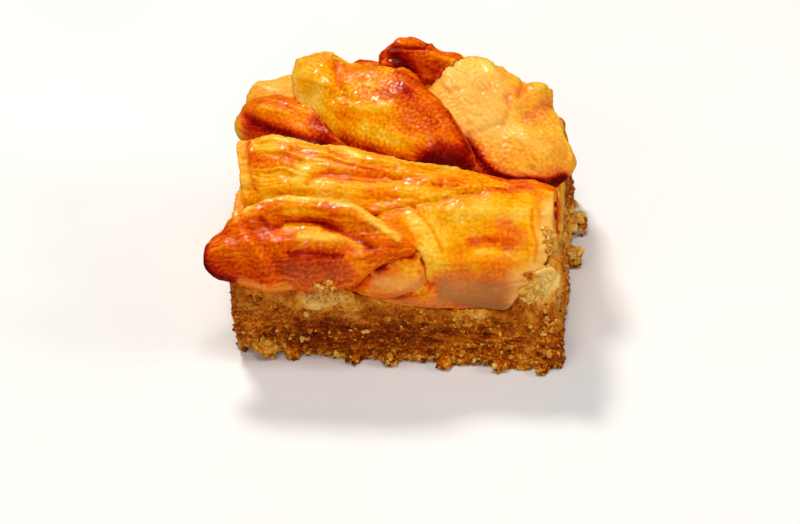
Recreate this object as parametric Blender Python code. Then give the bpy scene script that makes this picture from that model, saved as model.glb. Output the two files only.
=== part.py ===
"""A square of apple tray tart: a crumbly base, baked custard and a pile of cooked apple slices.

Metres, +Z up. The origin is the middle of the flat underside. X runs along the front cut,
and Y goes from the front cut to the back one. Sizes below are in millimetres.
"""

import math
from dataclasses import dataclass
from typing import NamedTuple

import bmesh
import bpy
import numpy as np
from mathutils import Matrix, Vector, noise

MM = 0.001
CLEARANCE = 0.3  # gap between pieces that touch
LAYER_GAP = 0.5  # between the base and the custard, whose faces are wavy

# The tart is cut by hand, so its sides are not quite square. The corners go round from the
# front left one, at the foot and at RIM_HEIGHT above it.
FOOT_CORNERS = ((-37.5, -31.8), (37.8, -38.0), (38.5, 33.0), (-37.8, 33.5))
RIM_CORNERS = ((-38.2, -31.5), (35.6, -35.8), (35.6, 32.5), (-38.4, 33.0))
RIM_HEIGHT = 25.0
HALF_WIDTH = 38.0
HALF_DEPTH = 35.0

# The base
CRUST_HEIGHT = 12.0
CRUST_CELLS = (23, 20, 4)  # faces along X, Y and Z
CRUST_WAVE = 2.4  # how far the top of the base rises and falls
CRUST_WAVE_LENGTH = 13.0
PRESS_DEPTH = 0.7  # the base is pressed down under the front right slice
PRESS_MIDDLE = (22.0, -34.0)
PRESS_REACH = 14.0
CRUMB_RELIEF = 0.75
CRUMB_LENGTHS = (2.9, 7.0)  # fine crumbs and coarse lumps
JOINT_CALM = 0.6  # share of the crumb relief that fades out towards the custard
FOOT_INSET = 0.7  # how far the foot is tucked in
FOOT_INSET_FADE = 6  # power of the height over which the tuck fades
FOOT_INSET_LENGTH = 6.0
FOOT_NOTCH = 3.5  # bites out of the ragged foot
FOOT_NOTCH_LENGTH = 5.0
RING_INSET = 3.0  # width of the wavy band round the flat middle of a layer's face

# The custard
CUSTARD_CELLS = (13, 11, 3)
CUSTARD_EDGE_HEIGHT = 22.5
CUSTARD_DOME = 12.0  # how much higher the custard stands in the middle
CUSTARD_WAVE = 1.6
CUSTARD_WAVE_LENGTH = 9.0
CUSTARD_CORNER = (36.0, -36.0)  # thick custard in the front right corner
CUSTARD_CORNER_RISE = 4.0
CUSTARD_CORNER_REACH = 9.0
CUSTARD_RELIEF = 0.6
CUSTARD_RELIEF_LENGTH = 5.0

# Lumps of crumb fused to the foot of the base: (x, y, z, radius)
FOOT_LUMPS = (
    (-30.5, -32.4, 3.4, 2.6),
    (-24.5, -33.2, 1.9, 1.6),
    (-10.0, -34.4, 1.6, 1.5),
    (-2.0, -35.2, 1.9, 1.7),
    (11.0, -36.2, 1.7, 1.6),
    (23.5, -37.2, 1.9, 1.8),
    (33.0, -37.8, 1.8, 1.7),
    (38.6, 4.5, 2.6, 2.4),
    (38.7, 18.0, 3.0, 3.0),
    (24.0, 33.5, 1.9, 1.7),
    (-4.0, 33.8, 2.2, 1.9),
    (-38.6, 19.0, 2.1, 1.8),
    (-38.2, -12.0, 1.9, 1.7),
)

# Flakes of custard that hang under the front left slice and stand in the front right corner
CUSTARD_LUMPS = (
    (-21.8, -32.6, 17.6, 2.1),
    (-18.8, -33.0, 16.8, 2.4),
    (-15.6, -33.0, 17.6, 2.0),
    (35.4, -33.6, 22.5, 2.6),
    (36.0, -30.6, 25.0, 2.4),
    (36.0, -28.0, 27.6, 2.0),
)
LUMP_ROUGHNESS = 0.55
LUMP_WAVE_SHARE = 0.9  # length of a lump's bumps as a share of its radius
LUMP_FLATTENING = 0.8
LUMP_FOOT = 0.3  # height of a lump's underside, so that the base alone rests on the ground

# Where each kind of bump starts in the noise
CRUST_TOP_START = 4.0
COARSE_CRUMB_START = 3.0
FOOT_INSET_START = 8.0
FOOT_NOTCH_START = 2.0
CUSTARD_RELIEF_START = 6.0
LUMP_START = 3.7
SLICE_START = 0.37

# An apple slice is a closed skin of rings with RING_POINTS points each
FIRST_RING = 0.35  # how far in from the heel the first ring is, in ring spacings
RING_POINTS = 16
SIDE_SQUARENESS = 0.85  # 1 makes an elliptical section, and less a squarer one
FACE_SQUARENESS = 0.8
THICKNESS_RUN = 0.5  # the thickness rounds off over this share of the width's run
SKIN_WAVE = 0.55  # how uneven the cooked flesh is
SKIN_WAVES_ALONG = 5.0
SKIN_WAVES_ACROSS = 1.4
SKIN_WAVES_UP = 0.8
FINE_SKIN_WAVES = 2.3  # how many times finer the second set of bumps is
THIN_FLESH = 3.0  # flesh thinner than this has gentler bumps

TRIM_TOP = 80.0  # top of the block that trims slices flush with the cut sides


class Dent(NamedTuple):
    """A bump or, with a negative height, a dent in the upper face of a slice."""

    along: float  # 0 at the heel and 1 at the tip
    across: float  # -1 at the right edge and 1 at the left one
    height: float
    length: float
    breadth: float


class Bulge(NamedTuple):
    """A place where one edge of a slice stands out, or is notched when the amount is negative."""

    along: float
    side: int  # 1 for the left edge and -1 for the right one
    amount: float
    length: float


@dataclass(frozen=True)
class AppleSlice:
    """One cooked apple slice, described along a line from its heel to its tip."""

    name: str
    heel: tuple  # the two ends of the middle line
    tip: tuple
    width: float
    thickness: float
    lean: tuple = (0.0, 0.0)  # degrees that the left edge is raised, at the heel and the tip
    bow: float = 0.0  # how far the middle line bends to its left
    lift: float = 0.0  # how far it arches up
    heel_run: float = 0.35  # share of the length over which each end rounds off
    tip_run: float = 0.5
    heel_left: float = 0.0  # share of the width left at a cut end
    tip_left: float = 0.0
    wedge: float = 0.0  # how much thicker the left edge is than the right one
    heel_skew: float = 0.0  # how far the right edge runs ahead of the left one at an end
    tip_skew: float = 0.0
    point: float = 0.5  # 0.5 rounds the ends off like an ellipse, and more makes them pointed
    dents: tuple = ()
    bulges: tuple = ()
    rings: int = 8
    trimmed: bool = True  # cut flush with the tart's sides
    colour: tuple = (240, 165, 40)


# The slices go from the top of the pile down. Each is cut away where it meets one above.
APPLES = (
    AppleSlice(
        "apple_centre_top", (-26.5, 19.5, 40.3), (16.8, -7.5, 35.5), 21.5, 9.5,
        lean=(26, 26), bow=-0.5, lift=2.4, heel_run=0.2, tip_run=0.6, heel_left=0.5, wedge=0.1,
        heel_skew=3.5,
        dents=(
            Dent(0.1, 0.6, 1.2, 0.1, 0.5),
            Dent(0.25, 0.75, -1.6, 0.05, 0.4),
            Dent(0.45, 0.0, 0.8, 0.3, 0.5),
        ),
        bulges=(
            Bulge(0.24, 1, -1.2, 0.07),
            Bulge(0.47, 1, 1.8, 0.12),
            Bulge(0.88, 1, -2.0, 0.12),
            Bulge(0.1, -1, -3.8, 0.2),
        ),
        rings=14,
        colour=(243, 164, 30),
    ),
    AppleSlice(
        "apple_front_left", (-42.8, -32.0, 27.0), (4.8, -32.5, 30.0), 22.0, 10.5,
        lean=(35, 46), bow=3.0, lift=-0.5, heel_run=0.5, tip_run=0.6, heel_left=0.1, point=0.65,
        trimmed=False,
        dents=(
            Dent(0.5, 0.42, -3.6, 0.24, 0.16),
            Dent(0.74, 0.15, -2.4, 0.12, 0.2),
            Dent(0.45, -0.15, 1.8, 0.25, 0.35),
            Dent(0.5, 0.95, 1.2, 0.3, 0.25),
        ),
        bulges=(
            Bulge(0.36, 1, 1.2, 0.16),
            Bulge(0.87, 1, -2.0, 0.14),
            Bulge(0.15, -1, -1.4, 0.1),
            Bulge(0.41, -1, -0.9, 0.06),
            Bulge(0.87, -1, -4.6, 0.12),
        ),
        rings=15,
        colour=(200, 95, 20),
    ),
    AppleSlice(
        "apple_back_right", (7.5, 25.5, 38.0), (34.0, -3.4, 28.0), 26.0, 10.0,
        lean=(13, 13), bow=0.5, lift=1.2, heel_run=0.24, tip_run=0.45, heel_left=0.55, tip_left=0.5,
        wedge=-0.1, heel_skew=2.0, trimmed=False,
        dents=(
            Dent(0.05, 0.3, 1.0, 0.06, 0.3),
            Dent(0.46, 0.95, 2.2, 0.06, 0.3),
            Dent(0.36, 0.9, -1.2, 0.04, 0.4),
            Dent(0.6, 0.0, -0.9, 0.12, 0.8),
        ),
        bulges=(
            Bulge(0.1, 1, -0.8, 0.12),
            Bulge(0.36, 1, -0.6, 0.04),
            Bulge(0.47, 1, 3.4, 0.08),
            Bulge(0.86, 1, -1.8, 0.14),
        ),
        rings=15,
        colour=(243, 176, 60),
    ),
    AppleSlice(
        "apple_back_top", (-7.0, 23.5, 43.0), (14.5, 26.5, 41.0), 9.0, 5.5,
        lean=(50, 30), bow=1.0, heel_run=0.2, tip_run=0.6, heel_left=0.65,
        dents=(Dent(0.25, 0.3, 1.2, 0.14, 0.5), Dent(0.5, -0.3, -1.6, 0.2, 0.4)),
        bulges=(Bulge(0.27, 1, 1.7, 0.23),),
        rings=11,
        colour=(208, 70, 16),
    ),
    AppleSlice(
        "apple_centre_back", (-17.0, 23.5, 37.5), (3.0, 18.0, 39.5), 13.0, 7.5,
        lean=(30, 30), lift=1.0, heel_run=0.3, tip_run=0.5,
        colour=(225, 130, 40),
    ),
    AppleSlice(
        "apple_back_left", (-39.6, 17.0, 32.7), (-10.0, -1.0, 33.6), 15.0, 9.0,
        lean=(24, 24), bow=-0.5, lift=1.8, heel_run=0.35, tip_run=0.4, heel_left=0.35, trimmed=False,
        dents=(Dent(0.3, 0.4, 1.0, 0.2, 0.5),),
        colour=(230, 115, 12),
    ),
    AppleSlice(
        "apple_left_rim", (-39.0, 25.0, 32.0), (-13.0, 19.0, 34.5), 13.0, 7.5,
        lean=(20, 20), lift=1.2, heel_run=0.35, tip_run=0.4, heel_left=0.3, trimmed=False,
        colour=(247, 193, 88),
    ),
    AppleSlice(
        "apple_middle_left", (-37.6, -3.2, 30.0), (25.0, -14.5, 31.5), 21.5, 9.5,
        lean=(22, 21), bow=-3.0, lift=1.5, heel_run=0.16, tip_run=0.85, heel_left=0.75, tip_left=0.15,
        heel_skew=3.0, rings=12, trimmed=False,
        dents=(
            Dent(0.04, 0.0, -2.2, 0.045, 3.0),
            Dent(0.5, 0.35, -1.1, 0.3, 0.1),
            Dent(0.5, -0.1, -1.0, 0.3, 0.1),
        ),
        colour=(238, 148, 28),
    ),
    AppleSlice(
        "apple_middle_right", (4.0, -10.4, 27.0), (36.5, -13.6, 26.6), 15.0, 9.0,
        lean=(14, 14), lift=0.6, tip_run=0.25, tip_left=0.6,
        colour=(226, 135, 40),
    ),
    AppleSlice(
        "apple_front_middle", (-16.0, -27.5, 22.5), (7.8, -33.0, 24.5), 13.5, 9.0,
        lean=(35, 35), heel_run=0.4, tip_run=0.35, tip_left=0.2, trimmed=False,
        colour=(215, 130, 30),
    ),
    AppleSlice(
        "apple_front_right", (-8.0, -25.8, 24.5), (35.2, -26.0, 25.0), 30.0, 11.5,
        lean=(30, 30), lift=0.6, heel_run=0.35, tip_run=0.12, heel_left=0.3, tip_left=0.8, wedge=-0.1,
        tip_skew=-3.0, rings=11, bulges=(Bulge(0.98, -1, -5.0, 0.16),),
        dents=(
            Dent(0.3, 0.1, -0.9, 0.03, 0.8),
            Dent(0.72, -0.1, -0.9, 0.1, 0.3),
            Dent(0.6, 0.3, 0.7, 0.3, 0.3),
        ),
        colour=(240, 160, 38),
    ),
    AppleSlice(
        "apple_rear_middle", (-17.0, 28.5, 30.5), (15.5, 28.5, 31.0), 20.0, 11.0,
        lean=(-26, -26), lift=1.5,
        colour=(240, 165, 45),
    ),
    AppleSlice(
        "apple_rear_right", (7.0, 28.0, 26.5), (38.0, 24.0, 20.5), 20.0, 11.0,
        lean=(-20, -20), lift=0.4, tip_run=0.25, tip_left=0.6,
        colour=(238, 150, 32),
    ),
    AppleSlice(
        "apple_rear_left", (-40.0, 26.5, 24.0), (-8.0, 29.0, 27.5), 21.0, 11.0,
        lean=(-20, -20), lift=1.5, heel_run=0.25, heel_left=0.6,
        colour=(236, 140, 26),
    ),
    AppleSlice(
        "apple_right_side", (34.0, -16.0, 22.0), (33.5, 22.0, 22.5), 16.0, 9.0,
        lean=(-5, -5),
        colour=(232, 165, 80),
    ),
    AppleSlice(
        "apple_left_side", (-37.0, 24.0, 22.0), (-36.0, -20.0, 22.0), 16.0, 9.0,
        lean=(-5, -5),
        colour=(232, 160, 75),
    ),
)


def clear_scene():
    for old in list(bpy.data.objects):
        bpy.data.objects.remove(old, do_unlink=True)


def linear_colour(photo_rgb):
    """The 0 to 255 display colour as the linear colour that a shader takes."""
    channels = []
    for value in photo_rgb:
        share = value / 255
        channels.append(share / 12.92 if share <= 0.04045 else ((share + 0.055) / 1.055) ** 2.4)
    return (*channels, 1.0)


def food_material(name, photo_rgb, roughness):
    material = bpy.data.materials.new(name)
    material.use_nodes = True
    shader = material.node_tree.nodes["Principled BSDF"]
    shader.inputs["Base Color"].default_value = linear_colour(photo_rgb)
    shader.inputs["Roughness"].default_value = roughness
    shader.inputs["Metallic"].default_value = 0.0
    material.diffuse_color = linear_colour(photo_rgb)
    return material


def add_object(name, points, faces, material=None):
    """A mesh object from points in millimetres."""
    mesh = bpy.data.meshes.new(name)
    mesh.from_pydata([tuple(float(c) * MM for c in point) for point in points], [], faces)
    shape = bmesh.new()
    shape.from_mesh(mesh)
    bmesh.ops.recalc_face_normals(shape, faces=shape.faces)
    if shape.calc_volume(signed=True) < 0:
        bmesh.ops.reverse_faces(shape, faces=shape.faces)
    bmesh.ops.triangulate(shape, faces=shape.faces)
    shape.to_mesh(mesh)
    shape.free()
    piece = bpy.data.objects.new(name, mesh)
    bpy.context.scene.collection.objects.link(piece)
    if material:
        mesh.materials.append(material)
    return piece


def wave_at(point, length, start=0.0):
    """Smooth noise from -1 to 1 that repeats over about the given length."""
    return noise.noise(Vector((point[0] / length + start, point[1] / length, point[2] / length)))


def corner_point(share_x, share_y, height):
    """A point of the tart's cut block: shares from 0 to 1 between its sides, at a height."""
    climb = height / RIM_HEIGHT
    corners = [
        Vector(foot).lerp(Vector(rim), climb)
        for foot, rim in zip(FOOT_CORNERS, RIM_CORNERS)
    ]
    front = corners[0].lerp(corners[1], share_x)
    back = corners[3].lerp(corners[2], share_x)
    flat = front.lerp(back, share_y)
    return np.array((flat.x, flat.y, height))


def rounded_rise(x, y, middle, reach):
    """A smooth hump, 1 at its middle, that fades out over its reach."""
    far = math.hypot(x - middle[0], y - middle[1]) / reach
    return math.exp(-far * far)


def crust_top(x, y):
    """Height of the wavy line between the base and the custard."""
    wave = CRUST_WAVE * wave_at((x, y, 0.0), CRUST_WAVE_LENGTH, CRUST_TOP_START)
    press = PRESS_DEPTH * rounded_rise(x, y, PRESS_MIDDLE, PRESS_REACH)
    return CRUST_HEIGHT + wave - press


def custard_floor(x, y):
    return crust_top(x, y) + LAYER_GAP


def custard_top(x, y):
    """Height of the custard: low at the sides, domed in the middle, heaped in one corner."""
    dome = max(0.0, 1 - (x / HALF_WIDTH) ** 2) * max(0.0, 1 - (y / HALF_DEPTH) ** 2)
    heap = CUSTARD_CORNER_RISE * rounded_rise(x, y, CUSTARD_CORNER, CUSTARD_CORNER_REACH)
    wave = CUSTARD_WAVE * wave_at((x, y, 0.0), CUSTARD_WAVE_LENGTH)
    return CUSTARD_EDGE_HEIGHT + CUSTARD_DOME * dome + heap + wave


def custard_relief(point, share):
    return CUSTARD_RELIEF * wave_at(point, CUSTARD_RELIEF_LENGTH, CUSTARD_RELIEF_START)


def foot_height(x, y):
    """Height of the ragged edge of the underside."""
    return FOOT_NOTCH * max(0.0, wave_at((x, y, 0.0), FOOT_NOTCH_LENGTH, FOOT_NOTCH_START))


def crumb_relief(point, share):
    """Crumbs on the cut sides of the base, and its ragged, tucked-in foot."""
    fine, coarse = CRUMB_LENGTHS
    crumbs = CRUMB_RELIEF * (wave_at(point, fine) + wave_at(point, coarse, COARSE_CRUMB_START))
    uneven = 1 + 1.4 * wave_at(point, FOOT_INSET_LENGTH, FOOT_INSET_START)
    tuck = FOOT_INSET * (1 - share) ** FOOT_INSET_FADE * uneven
    return crumbs * (1 - JOINT_CALM * share ** 3) - max(0.0, tuck)


class BlockShell:
    """The points and faces of a gridded block between two height functions.

    The relief function moves a point of a side outwards, and gets the point and its share of
    the height.
    """

    def __init__(self, cells, low, high, relief):
        self.cells = cells
        self.low = low
        self.high = high
        self.relief = relief
        self.index = {}
        self.points = []
        self.faces = []

    def place(self, i, j, k):
        """The position of a grid point."""
        nx, ny, nz = self.cells
        share = k / nz
        ground = corner_point(i / nx, j / ny, 0.0)
        height = self.low(ground[0], ground[1]) * (1 - share) + self.high(ground[0], ground[1]) * share
        point = corner_point(i / nx, j / ny, height)
        outward = np.array((float(i == nx) - float(i == 0), float(j == ny) - float(j == 0), 0.0))
        if outward.any():
            point = point + outward * self.relief(point, share)
        return point

    def corner(self, i, j, k):
        """The number of a grid point, which is made when it is first asked for."""
        if (i, j, k) not in self.index:
            self.index[i, j, k] = len(self.points)
            self.points.append(self.place(i, j, k))
        return self.index[i, j, k]

    def around(self):
        """The grid places along the sides, in order round the block."""
        nx, ny, _ = self.cells
        front = [(i, 0) for i in range(nx)]
        right = [(nx, j) for j in range(ny)]
        back = [(i, ny) for i in range(nx, 0, -1)]
        left = [(0, j) for j in range(ny, 0, -1)]
        return front + right + back + left

    def add_sides(self):
        around = self.around()
        for k in range(self.cells[2]):
            for here, after in zip(around, around[1:] + around[:1]):
                self.faces.append((
                    self.corner(*here, k),
                    self.corner(*after, k),
                    self.corner(*after, k + 1),
                    self.corner(*here, k + 1),
                ))

    def add_wavy_face(self, k):
        nx, ny, _ = self.cells
        for i in range(nx):
            for j in range(ny):
                self.faces.append((
                    self.corner(i, j, k),
                    self.corner(i + 1, j, k),
                    self.corner(i + 1, j + 1, k),
                    self.corner(i, j + 1, k),
                ))

    def add_flat_face(self, k, height):
        """A face that is wavy only along its edge, and flat in the middle."""
        nx, ny, _ = self.cells
        around = self.around()
        edge = [self.corner(i, j, k) for i, j in around]
        shrink = np.array((1 - RING_INSET / HALF_WIDTH, 1 - RING_INSET / HALF_DEPTH, 1.0))
        first = len(self.points)
        for i, j in around:
            self.points.append(corner_point(i / nx, j / ny, height) * shrink)
        count = len(around)
        for step in range(count):
            after = (step + 1) % count
            self.faces.append((edge[step], edge[after], first + after, first + step))
        self.faces.append(tuple(range(first, first + count)))


def make_crust():
    shell = BlockShell(CRUST_CELLS, foot_height, crust_top, crumb_relief)
    shell.add_sides()
    shell.add_flat_face(0, 0.0)
    shell.add_flat_face(CRUST_CELLS[2], CRUST_HEIGHT)
    material = food_material("baked_crumb", (150, 85, 28), 0.75)
    crust = add_object("crust", shell.points, shell.faces, material)
    fuse(crust, [rough_lump(number, *lump) for number, lump in enumerate(FOOT_LUMPS)])
    return crust


def make_custard():
    shell = BlockShell(CUSTARD_CELLS, custard_floor, custard_top, custard_relief)
    shell.add_sides()
    shell.add_flat_face(0, CRUST_HEIGHT + LAYER_GAP)
    shell.add_wavy_face(CUSTARD_CELLS[2])
    material = food_material("baked_custard", (232, 190, 120), 0.5)
    custard = add_object("custard", shell.points, shell.faces, material)
    fuse(custard, [rough_lump(number, *lump) for number, lump in enumerate(CUSTARD_LUMPS)])
    return custard


def rough_lump(number, x, y, z, radius):
    """A rough lump, which is a ball with its points pushed in and out."""
    ball = bmesh.new()
    bmesh.ops.create_icosphere(ball, subdivisions=2, radius=radius)
    for corner in ball.verts:
        place = corner.co + Vector((number * LUMP_START, 0, 0))
        corner.co = corner.co * (1 + LUMP_ROUGHNESS * wave_at(place, LUMP_WAVE_SHARE * radius))
        corner.co.z = max(corner.co.z * LUMP_FLATTENING, LUMP_FOOT - z)
    bmesh.ops.transform(ball, matrix=Matrix.Scale(MM, 4) @ Matrix.Translation((x, y, z)), verts=ball.verts)
    mesh = bpy.data.meshes.new(f"lump_{number}")
    ball.to_mesh(mesh)
    ball.free()
    return bpy.data.objects.new(f"lump_{number}", mesh)


def rounding(along, run, left, point):
    """The share of the full size at a distance from an end that rounds off over a run."""
    share = 1 - (1 - min(1.0, along / run)) ** 2
    return left + (1 - left) * share ** point


def end_taper(along, apple, run_scale=1.0):
    heel = rounding(along, apple.heel_run * run_scale, apple.heel_left, apple.point)
    tip = rounding(1 - along, apple.tip_run * run_scale, apple.tip_left, apple.point)
    return heel * tip


def upper_relief(apple, along, side):
    """How far the bumps and dents raise a slice's upper face at a place."""
    total = 0.0
    for dent in apple.dents:
        far = ((along - dent.along) / dent.length) ** 2 + ((side - dent.across) / dent.breadth) ** 2
        total += dent.height * math.exp(-far)
    return total


def skin_swell(apple, along, side, height, thick):
    """How far the uneven cooked flesh stands out from the smooth form."""
    start = sum(ord(letter) for letter in apple.name) * SLICE_START
    waves = np.array((along * SKIN_WAVES_ALONG, side * SKIN_WAVES_ACROSS, height * SKIN_WAVES_UP))
    seed = Vector(waves + start)
    swell = SKIN_WAVE * (2 * noise.noise(seed) + noise.noise(seed * FINE_SKIN_WAVES))
    return swell * min(1.0, thick / THIN_FLESH)


def edge_bulge(apple, along, side):
    """How far the edge on this side stands out from its plain outline. Each bulge has a flat top."""
    total = 0.0
    for bulge in apple.bulges:
        if bulge.side * side > 0:
            total += bulge.amount * math.exp(-((along - bulge.along) / bulge.length) ** 4)
    return total


def signed_power(value, power):
    return math.copysign(abs(value) ** power, value)


def slice_axes(apple):
    """The directions ahead, to the left and up for a slice."""
    ahead = np.array(apple.tip) - np.array(apple.heel)
    ahead /= np.linalg.norm(ahead)
    left = np.cross((0, 0, 1), ahead)
    left /= np.linalg.norm(left)
    return ahead, left, np.cross(ahead, left)


def middle_point(apple, along, grow):
    """The point of a slice's middle line at a share of its length."""
    ahead, left, up = slice_axes(apple)
    arch = 4 * along * (1 - along)
    straight = np.array(apple.heel) * (1 - along) + np.array(apple.tip) * along
    return straight + (left * apple.bow + up * apple.lift) * arch + ahead * grow * (2 * along - 1)


def ring_of_points(apple, along, grow):
    """The section of a slice at a share of its length, grown on all sides by a clearance."""
    ahead, left, up = slice_axes(apple)
    middle = middle_point(apple, along, grow)
    lean = math.radians(apple.lean[0] + (apple.lean[1] - apple.lean[0]) * along)
    across = left * math.cos(lean) + up * math.sin(lean)
    normal = up * math.cos(lean) - left * math.sin(lean)
    wide = apple.width / 2 * end_taper(along, apple)
    thick = apple.thickness / 2 * end_taper(along, apple, THICKNESS_RUN)
    skew = apple.heel_skew * (1 - along) ** 3 + apple.tip_skew * along ** 3
    points = []
    for step in range(RING_POINTS):
        turn = 2 * math.pi * step / RING_POINTS
        side = signed_power(math.cos(turn), SIDE_SQUARENESS)
        height = signed_power(math.sin(turn), FACE_SQUARENESS)
        rise = (thick * (1 + apple.wedge * side) + grow) * height
        if height > 0:
            depth_share = min(1.0, 2 * height) * thick / (apple.thickness / 2)
            rise += upper_relief(apple, along, side) * depth_share
        swell = skin_swell(apple, along, side, height, thick)
        reach = wide + edge_bulge(apple, along, side) * wide / (apple.width / 2) + grow
        point = middle + across * reach * side + normal * rise - ahead * skew * side
        points.append(point + (normal * height + across * side) * swell)
    return points


def slice_object(apple, name, grow=0.0, material=None):
    """A closed skin over the rings of a slice. The rings lie closer together at the ends."""
    points = []
    last = apple.rings - 1
    for ring in range(apple.rings):
        along = 0.5 - 0.5 * math.cos(math.pi * (ring + FIRST_RING) / (last + 2 * FIRST_RING))
        points.extend(ring_of_points(apple, along, grow))
    faces = []
    for ring in range(last):
        low, high = ring * RING_POINTS, (ring + 1) * RING_POINTS
        for step in range(RING_POINTS):
            after = (step + 1) % RING_POINTS
            faces.append((low + step, low + after, high + after, high + step))
    for first in (0, last * RING_POINTS):
        middle = len(points)
        points.append(np.mean(points[first:first + RING_POINTS], axis=0))
        for step in range(RING_POINTS):
            faces.append((first + step, first + (step + 1) % RING_POINTS, middle))
    return add_object(name, points, faces, material)


def apply_modifiers(piece):
    graph = bpy.context.evaluated_depsgraph_get()
    shape = bpy.data.meshes.new_from_object(piece.evaluated_get(graph))
    piece.modifiers.clear()
    piece.data = shape


def bounds_meet(first, second):
    """Whether two objects' boxes overlap. Every object here has its place in its mesh."""
    a = np.array([corner.co for corner in first.data.vertices])
    b = np.array([corner.co for corner in second.data.vertices])
    return bool((a.min(0) < b.max(0)).all() and (b.min(0) < a.max(0)).all())


def boolean(piece, other, operation):
    cut = piece.modifiers.new(operation.title(), "BOOLEAN")
    cut.operation = operation
    cut.solver = "EXACT"
    cut.object = other
    apply_modifiers(piece)


def fuse(piece, lumps):
    """Joins the lumps to the piece by one union, and removes them."""
    group = bpy.data.collections.new("lumps")
    bpy.context.scene.collection.children.link(group)
    for lump in lumps:
        group.objects.link(lump)
    union = piece.modifiers.new("Union", "BOOLEAN")
    union.operation = "UNION"
    union.solver = "EXACT"
    union.operand_type = "COLLECTION"
    union.collection = group
    apply_modifiers(piece)
    for lump in lumps:
        bpy.data.objects.remove(lump, do_unlink=True)
    bpy.data.collections.remove(group)


def connected_parts(shape):
    """The sets of vertices of a bmesh that hang together."""
    unseen = set(shape.verts)
    parts = []
    while unseen:
        part = set()
        todo = [unseen.pop()]
        while todo:
            corner = todo.pop()
            part.add(corner)
            for edge in corner.link_edges:
                other = edge.other_vert(corner)
                if other in unseen:
                    unseen.remove(other)
                    todo.append(other)
        parts.append(part)
    return parts


def keep_largest(piece):
    """Drops the loose scraps that a cut leaves."""
    shape = bmesh.new()
    shape.from_mesh(piece.data)
    parts = sorted(connected_parts(shape), key=len)
    for part in parts[:-1]:
        bmesh.ops.delete(shape, geom=list(part), context="VERTS")
    shape.to_mesh(piece.data)
    shape.free()


def trim_block():
    """The block between the tart's cut sides, which trims the slices that are cut flush."""
    points = []
    for height in (0.0, TRIM_TOP):
        for share_x, share_y in ((0, 0), (1, 0), (1, 1), (0, 1)):
            points.append(corner_point(share_x, share_y, height))
    sides = [(step, (step + 1) % 4, (step + 1) % 4 + 4, step + 4) for step in range(4)]
    return add_object("trim_block", points, [(0, 1, 2, 3), (4, 5, 6, 7), *sides])


def as_cutter(piece):
    piece.hide_render = True
    piece.display_type = "WIRE"
    return piece


def make_apple(apple, block, cutters):
    """One slice, trimmed if it is cut flush, and cut clear of the slices above it."""
    piece = slice_object(apple, apple.name, material=food_material(f"{apple.name}_flesh", apple.colour, 0.3))
    if apple.trimmed:
        boolean(piece, block, "INTERSECT")
    for cutter in cutters:
        if bounds_meet(piece, cutter):
            boolean(piece, cutter, "DIFFERENCE")
    keep_largest(piece)
    piece.data.shade_smooth()
    return piece


def main():
    clear_scene()
    make_crust()
    custard = make_custard()
    block = as_cutter(trim_block())
    cutters = []
    for apple in APPLES:
        make_apple(apple, block, cutters)
        cutters.append(as_cutter(slice_object(apple, f"{apple.name}_room", grow=CLEARANCE)))
    for cutter in cutters:
        boolean(custard, cutter, "DIFFERENCE")
    keep_largest(custard)
    for helper in (*cutters, block):
        bpy.data.objects.remove(helper, do_unlink=True)


main()
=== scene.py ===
"""The looks of a square of apple tray tart: crumbly base, baked custard and glazed apple slices.

Each solid of the frame is replaced by a dense skin of the same form, which carries the wrinkles,
creases and crumbs as mesh. Points are in millimetres, in the frame of the solids, until they are
written to a mesh. Places that start with PHOTO or stand in a Stroke or Cluster are pixels of the
800 x 524 photograph, and the camera below turns a point of a skin into such a pixel.
"""

import itertools
import math
from dataclasses import dataclass
from typing import NamedTuple

import bmesh
import bpy
import numpy as np
from mathutils import Matrix, Vector
from mathutils.bvhtree import BVHTree


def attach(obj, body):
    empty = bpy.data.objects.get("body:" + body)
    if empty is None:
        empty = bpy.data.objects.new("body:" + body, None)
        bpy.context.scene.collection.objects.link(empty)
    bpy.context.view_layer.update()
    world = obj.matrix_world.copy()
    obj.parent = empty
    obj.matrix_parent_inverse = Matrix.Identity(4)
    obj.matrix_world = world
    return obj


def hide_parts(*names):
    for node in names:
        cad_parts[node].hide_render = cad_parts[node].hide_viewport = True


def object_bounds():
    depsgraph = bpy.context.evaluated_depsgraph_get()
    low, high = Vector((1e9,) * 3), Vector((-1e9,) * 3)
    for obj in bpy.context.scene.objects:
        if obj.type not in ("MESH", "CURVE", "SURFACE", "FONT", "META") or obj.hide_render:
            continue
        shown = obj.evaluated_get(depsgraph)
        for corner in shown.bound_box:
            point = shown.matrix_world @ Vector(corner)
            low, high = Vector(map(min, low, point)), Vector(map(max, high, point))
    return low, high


MM = 0.001

# The camera sees the front left foot of the tart at PHOTO_FOOT.
PHOTO_SIZE = (800, 524)
PHOTO_FOOT = (237.0, 352.0)
FOOT_CORNER = np.array((-37.5, -31.5, 0.0))
FOCAL_PIXELS = 3000.0
PIXELS_PER_MM = 4.3475
CAMERA_AZIMUTH = 6.0
CAMERA_ELEVATION = 35.0
CAMERA_ROLL = -3.0
SENSOR_WIDTH = 36.0

# How finely each solid is divided
FINE_CELL = 0.34
SLICE_CELL = 0.5
CUSTARD_CELL = 0.45
CRUST_CELL = 0.32

# How many steps even out each solid after it is divided
SLICE_SMOOTHING = 8
CUSTARD_SMOOTHING = 5
CRUST_SMOOTHING = 2
REGROWTH = 1.04  # how much stronger each step out is than the step in before it

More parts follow.
